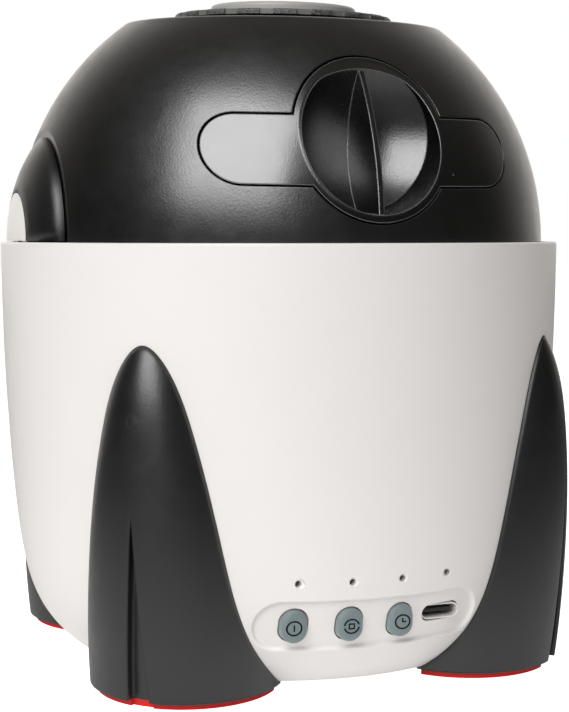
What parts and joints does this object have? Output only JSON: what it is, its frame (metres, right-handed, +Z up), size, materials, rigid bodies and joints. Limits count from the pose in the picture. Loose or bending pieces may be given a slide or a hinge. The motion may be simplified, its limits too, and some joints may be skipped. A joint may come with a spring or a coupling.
{
  "type": "planetarium projector",
  "caption": "Ball-shaped star projector head that tilts between ear brackets in a white cup on four fin legs, with a pull-out disc drawer, focus ring and push buttons.",
  "frame": {"origin": "on the floor under the middle of the cup", "axes": "+Z up, +X to the right seen from the front, -Y towards the drawer and buttons"},
  "size_m": [0.132, 0.132, 0.1521],
  "materials": {
    "white_plastic": "off-white ABS, satin, finely textured",
    "black_plastic": "charcoal-black ABS, satin, spark-eroded texture",
    "leg_plastic": "charcoal-black ABS, satin, spark-eroded texture",
    "drawer_plastic": "black ABS, satin face and glossy grip bowl",
    "red_rubber": "red rubber, matt",
    "button_rubber": "blue-grey soft-touch plastic with printed icons",
    "grey_plastic": "mid-grey ABS, matt",
    "ring_plastic": "dark grey-green plastic, matt",
    "bezel_plastic": "warm grey plastic, satin",
    "frame_plastic": "dark glass-filled nylon, matt",
    "zinc_steel": "zinc-plated steel",
    "component_black": "moulded black component housings",
    "clear_plastic": "clear acrylic",
    "led_package": "white LED package with yellow phosphor",
    "circuit_board": "green solder mask on glass-epoxy board",
    "cell_sleeve": "shrink-sleeved lithium cells",
    "washer_rubber": "friction felt-rubber washer",
    "board_aluminium": "bare aluminium",
    "lens_glass": "polished optical lens",
    "motor_steel": "nickel-plated steel can",
    "gear_nylon": "natural acetal",
    "star_film": "black coated transparency with clear star dots"
  },
  "bodies": {
    "base": {"cup_shell": "white_plastic", "leg_front_left": "leg_plastic", "leg_front_right": "leg_plastic", "leg_rear_right": "leg_plastic", "leg_rear_left": "leg_plastic", "foot_pad_front_left": "red_rubber", "foot_pad_front_right": "red_rubber", "foot_pad_rear_right": "red_rubber", "foot_pad_rear_left": "red_rubber", "leg_screws": "zinc_steel", "button_switches": "component_black", "usb_inlet_shell": "zinc_steel", "usb_inlet_tongue": "component_black", "light_guide": "clear_plastic", "indicator_leds": "led_package", "control_board": "circuit_board", "yoke": "frame_plastic", "yoke_screws": "zinc_steel", "ear_cover_right": "black_plastic", "ear_cover_left": "black_plastic", "ear_cap_right": "white_plastic", "ear_cap_left": "white_plastic", "bottom_cover": "grey_plastic", "bottom_screws": "zinc_steel", "battery_cells": "cell_sleeve", "battery_holder": "frame_plastic", "main_board": "circuit_board", "board_spacers": "frame_plastic", "board_parts": "component_black"},
    "head": {"dome_shell": "black_plastic", "lower_shell": "black_plastic", "shell_screws": "zinc_steel", "tilt_hub_right": "frame_plastic", "tilt_hub_left": "frame_plastic", "pivot_screws": "zinc_steel", "friction_washers": "washer_rubber", "tray_guide": "frame_plastic", "lens_mount": "frame_plastic", "frame_screws": "zinc_steel", "lamp_housing": "frame_plastic", "lamp_screws": "zinc_steel", "led_board": "board_aluminium", "led_emitter": "led_package", "heat_sink": "board_aluminium", "condenser_lens": "lens_glass", "rotation_motor": "motor_steel"},
    "drawer": {"drawer_front": "drawer_plastic", "disc_tray": "drawer_plastic", "drawer_screws": "zinc_steel"},
    "disc": {"disc_carrier": "gear_nylon", "star_disc": "star_film"},
    "pinion": {"motor_pinion": "gear_nylon"},
    "focus": {"focus_ring": "ring_plastic"},
    "lens": {"lens_barrel": "frame_plastic", "lens_bezel": "bezel_plastic", "front_lens": "lens_glass", "rear_lens": "lens_glass"},
    "power_key": {"power_button": "button_rubber"},
    "rotation_key": {"rotation_button": "button_rubber"},
    "timer_key": {"timer_button": "button_rubber"}
  },
  "joints": [
    {"name": "head_tilt", "type": "hinge", "parent": "base", "child": "head", "pos_m": [0, 0, 0.096], "axis": [1, 0, 0], "range_deg": [-48, 2]},
    {"name": "drawer_slide", "type": "slide", "parent": "head", "child": "drawer", "axis": [0, -0.9984, -0.0558], "range_m": [0, 0.068]},
    {"name": "disc_spin", "type": "hinge", "parent": "drawer", "child": "disc", "pos_m": [0, -0.00117, 0.11697], "axis": [0, -0.0558, 0.9984], "continuous": true},
    {"name": "pinion_spin", "type": "hinge", "parent": "head", "child": "pinion", "pos_m": [0, 0.03477, 0.11898], "axis": [0, -0.0558, 0.9984], "continuous": true},
    {"name": "focus_turn", "type": "hinge", "parent": "head", "child": "focus", "pos_m": [0, -0.0029, 0.14792], "axis": [0, -0.0558, 0.9984], "range_deg": [0, 120]},
    {"name": "lens_focus", "type": "slide", "parent": "head", "child": "lens", "axis": [0, -0.0558, 0.9984], "range_m": [0, 0.0031]},
    {"name": "power_press", "type": "slide", "parent": "base", "child": "power_key", "axis": [0, 1, 0], "range_m": [0, 0.0006], "stiffness_N_per_m": 500, "springref_m": -0.0004},
    {"name": "rotation_press", "type": "slide", "parent": "base", "child": "rotation_key", "axis": [0, 1, 0], "range_m": [0, 0.0006], "stiffness_N_per_m": 500, "springref_m": -0.0004},
    {"name": "timer_press", "type": "slide", "parent": "base", "child": "timer_key", "axis": [0, 1, 0], "range_m": [0, 0.0006], "stiffness_N_per_m": 500, "springref_m": -0.0004}
  ],
  "couplings": [
    {"joint": "pinion_spin", "follows": "disc_spin", "ratio": -5},
    {"joint": "lens_focus", "follows": "focus_turn", "m_per_rad": 0.0014324}
  ]
}
